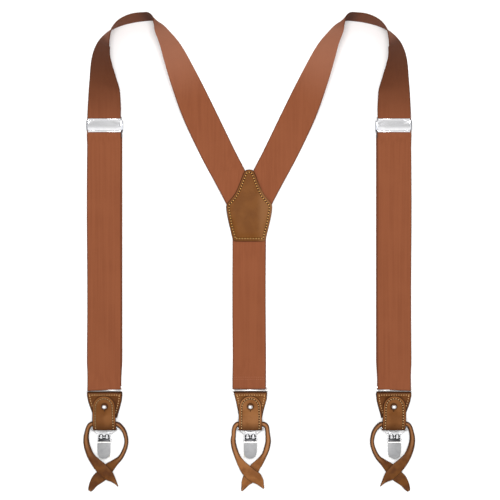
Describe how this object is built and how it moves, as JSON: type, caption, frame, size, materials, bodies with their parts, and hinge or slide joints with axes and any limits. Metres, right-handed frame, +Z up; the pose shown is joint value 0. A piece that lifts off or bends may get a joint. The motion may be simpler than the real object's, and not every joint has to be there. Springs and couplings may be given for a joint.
{
  "type": "suspenders",
  "caption": "Y-back elastic suspenders with a leather back patch, plate adjusters, and convertible leather ends that carry a lever clip and button ears, laid flat.",
  "frame": {"origin": "centre of the laid-out length and width, on the surface the suspenders lie on", "axes": "+X across, +Y from the ends up to the shoulder turns, +Z up from the surface"},
  "size_m": [0.3476, 0.4949, 0.035],
  "materials": {
    "elastic": "fine ribbed elastic webbing, rust brown",
    "leather": "tan leather with edge stitching",
    "dark_leather": "darker rolled leather",
    "nickel": "polished nickel plate",
    "satin_steel": "satin nickel plate",
    "jaw_plastic": "moulded pale plastic"
  },
  "bodies": {
    "root": {"patch_front": "leather", "patch_back": "leather", "shoulder_strap_left": "elastic", "shoulder_strap_right": "elastic", "back_strap": "elastic"},
    "loop_left": {"adjusting_loop_left": "elastic"},
    "adjuster_left": {"adjuster_plate_left": "nickel"},
    "adjuster_lever_left": {"adjuster_lever_left": "satin_steel"},
    "loop_right": {"adjusting_loop_right": "elastic"},
    "adjuster_right": {"adjuster_plate_right": "nickel"},
    "adjuster_lever_right": {"adjuster_lever_right": "satin_steel"},
    "ring_left": {"ring_left": "nickel"},
    "tab_left": {"tab_left": "leather", "hanger_left": "leather", "stud_left": "nickel"},
    "flap_left": {"snap_flap_left": "leather"},
    "bail_left": {"bail_left": "nickel"},
    "clip_left": {"clip_body_left": "nickel", "clip_pin_left": "nickel", "jaw_pad_left": "jaw_plastic"},
    "clip_lever_left": {"clip_lever_left": "satin_steel"},
    "ears_left": {"button_ears_left": "dark_leather"},
    "ring_right": {"ring_right": "nickel"},
    "tab_right": {"tab_right": "leather", "hanger_right": "leather", "stud_right": "nickel"},
    "flap_right": {"snap_flap_right": "leather"},
    "bail_right": {"bail_right": "nickel"},
    "clip_right": {"clip_body_right": "nickel", "clip_pin_right": "nickel", "jaw_pad_right": "jaw_plastic"},
    "clip_lever_right": {"clip_lever_right": "satin_steel"},
    "ears_right": {"button_ears_right": "dark_leather"},
    "ring_back": {"ring_back": "nickel"},
    "tab_back": {"tab_back": "leather", "hanger_back": "leather", "stud_back": "nickel"},
    "flap_back": {"snap_flap_back": "leather"},
    "bail_back": {"bail_back": "nickel"},
    "clip_back": {"clip_body_back": "nickel", "clip_pin_back": "nickel", "jaw_pad_back": "jaw_plastic"},
    "clip_lever_back": {"clip_lever_back": "satin_steel"},
    "ears_back": {"button_ears_back": "dark_leather"}
  },
  "joints": [
    {"name": "length_left", "type": "slide", "parent": "root", "child": "loop_left", "axis": [0, -1, 0], "range_m": [0, 0.2], "deforming": ["adjusting_loop_left"]},
    {"name": "adjuster_slide_left", "type": "slide", "parent": "loop_left", "child": "adjuster_left", "axis": [0, -1, 0], "range_m": [0, 0.2]},
    {"name": "adjuster_lever_hinge_left", "type": "hinge", "parent": "adjuster_left", "child": "adjuster_lever_left", "pos_m": [-0.1517, 0.13803, 0.0024], "axis": [-1, 0, 0], "range_deg": [0, 75]},
    {"name": "length_right", "type": "slide", "parent": "root", "child": "loop_right", "axis": [0, -1, 0], "range_m": [0, 0.2], "deforming": ["adjusting_loop_right"]},
    {"name": "adjuster_slide_right", "type": "slide", "parent": "loop_right", "child": "adjuster_right", "axis": [0, -1, 0], "range_m": [0, 0.2]},
    {"name": "adjuster_lever_hinge_right", "type": "hinge", "parent": "adjuster_right", "child": "adjuster_lever_right", "pos_m": [0.1517, 0.13803, 0.0024], "axis": [-1, 0, 0], "range_deg": [0, 75]},
    {"name": "ring_swing_left", "type": "hinge", "parent": "loop_left", "child": "ring_left", "pos_m": [-0.1517, -0.13767, 0.0023], "axis": [-1, 0, 0], "range_deg": [-25, 35]},
    {"name": "tab_swing_left", "type": "hinge", "parent": "ring_left", "child": "tab_left", "pos_m": [-0.1517, -0.14467, 0.0023], "axis": [-1, 0, 0], "range_deg": [-30, 35]},
    {"name": "flap_open_left", "type": "hinge", "parent": "tab_left", "child": "flap_left", "pos_m": [-0.1517, -0.17897, 0.0076], "axis": [1, 0, 0], "range_deg": [0, 110]},
    {"name": "bail_swing_left", "type": "hinge", "parent": "tab_left", "child": "bail_left", "pos_m": [-0.1517, -0.18037, 0.0036], "axis": [1, 0, 0], "range_deg": [-30, 30]},
    {"name": "clip_swing_left", "type": "hinge", "parent": "bail_left", "child": "clip_left", "pos_m": [-0.1517, -0.18707, 0.0026], "axis": [1, 0, 0], "range_deg": [-20, 20]},
    {"name": "clip_lever_open_left", "type": "hinge", "parent": "clip_left", "child": "clip_lever_left", "pos_m": [-0.1517, -0.19247, 0.0029], "axis": [-1, 0, 0], "range_deg": [0, 80]},
    {"name": "ears_swing_left", "type": "hinge", "parent": "tab_left", "child": "ears_left", "pos_m": [-0.1517, -0.17577, 0.0044], "axis": [1, 0, 0], "range_deg": [-45, 35]},
    {"name": "ring_swing_right", "type": "hinge", "parent": "loop_right", "child": "ring_right", "pos_m": [0.1517, -0.13767, 0.0023], "axis": [-1, 0, 0], "range_deg": [-25, 35]},
    {"name": "tab_swing_right", "type": "hinge", "parent": "ring_right", "child": "tab_right", "pos_m": [0.1517, -0.14467, 0.0023], "axis": [-1, 0, 0], "range_deg": [-30, 35]},
    {"name": "flap_open_right", "type": "hinge", "parent": "tab_right", "child": "flap_right", "pos_m": [0.1517, -0.17897, 0.0076], "axis": [1, 0, 0], "range_deg": [0, 110]},
    {"name": "bail_swing_right", "type": "hinge", "parent": "tab_right", "child": "bail_right", "pos_m": [0.1517, -0.18037, 0.0036], "axis": [1, 0, 0], "range_deg": [-30, 30]},
    {"name": "clip_swing_right", "type": "hinge", "parent": "bail_right", "child": "clip_right", "pos_m": [0.1517, -0.18707, 0.0026], "axis": [1, 0, 0], "range_deg": [-20, 20]},
    {"name": "clip_lever_open_right", "type": "hinge", "parent": "clip_right", "child": "clip_lever_right", "pos_m": [0.1517, -0.19247, 0.0029], "axis": [-1, 0, 0], "range_deg": [0, 80]},
    {"name": "ears_swing_right", "type": "hinge", "parent": "tab_right", "child": "ears_right", "pos_m": [0.1517, -0.17577, 0.0044], "axis": [1, 0, 0], "range_deg": [-45, 35]},
    {"name": "ring_swing_back", "type": "hinge", "parent": "root", "child": "ring_back", "pos_m": [0, -0.13767, 0.0023], "axis": [-1, 0, 0], "range_deg": [-25, 35]},
    {"name": "tab_swing_back", "type": "hinge", "parent": "ring_back", "child": "tab_back", "pos_m": [0, -0.14467, 0.0023], "axis": [-1, 0, 0], "range_deg": [-30, 35]},
    {"name": "flap_open_back", "type": "hinge", "parent": "tab_back", "child": "flap_back", "pos_m": [0, -0.17897, 0.0076], "axis": [1, 0, 0], "range_deg": [0, 110]},
    {"name": "bail_swing_back", "type": "hinge", "parent": "tab_back", "child": "bail_back", "pos_m": [0, -0.18037, 0.0036], "axis": [1, 0, 0], "range_deg": [-30, 30]},
    {"name": "clip_swing_back", "type": "hinge", "parent": "bail_back", "child": "clip_back", "pos_m": [0, -0.18707, 0.0026], "axis": [1, 0, 0], "range_deg": [-20, 20]},
    {"name": "clip_lever_open_back", "type": "hinge", "parent": "clip_back", "child": "clip_lever_back", "pos_m": [0, -0.19247, 0.0029], "axis": [-1, 0, 0], "range_deg": [0, 80]},
    {"name": "ears_swing_back", "type": "hinge", "parent": "tab_back", "child": "ears_back", "pos_m": [0, -0.17577, 0.0044], "axis": [1, 0, 0], "range_deg": [-45, 35]}
  ],
  "couplings": [
    {"joint": "adjuster_slide_left", "follows": "length_left", "ratio": 1},
    {"joint": "adjuster_slide_right", "follows": "length_right", "ratio": 1}
  ]
}
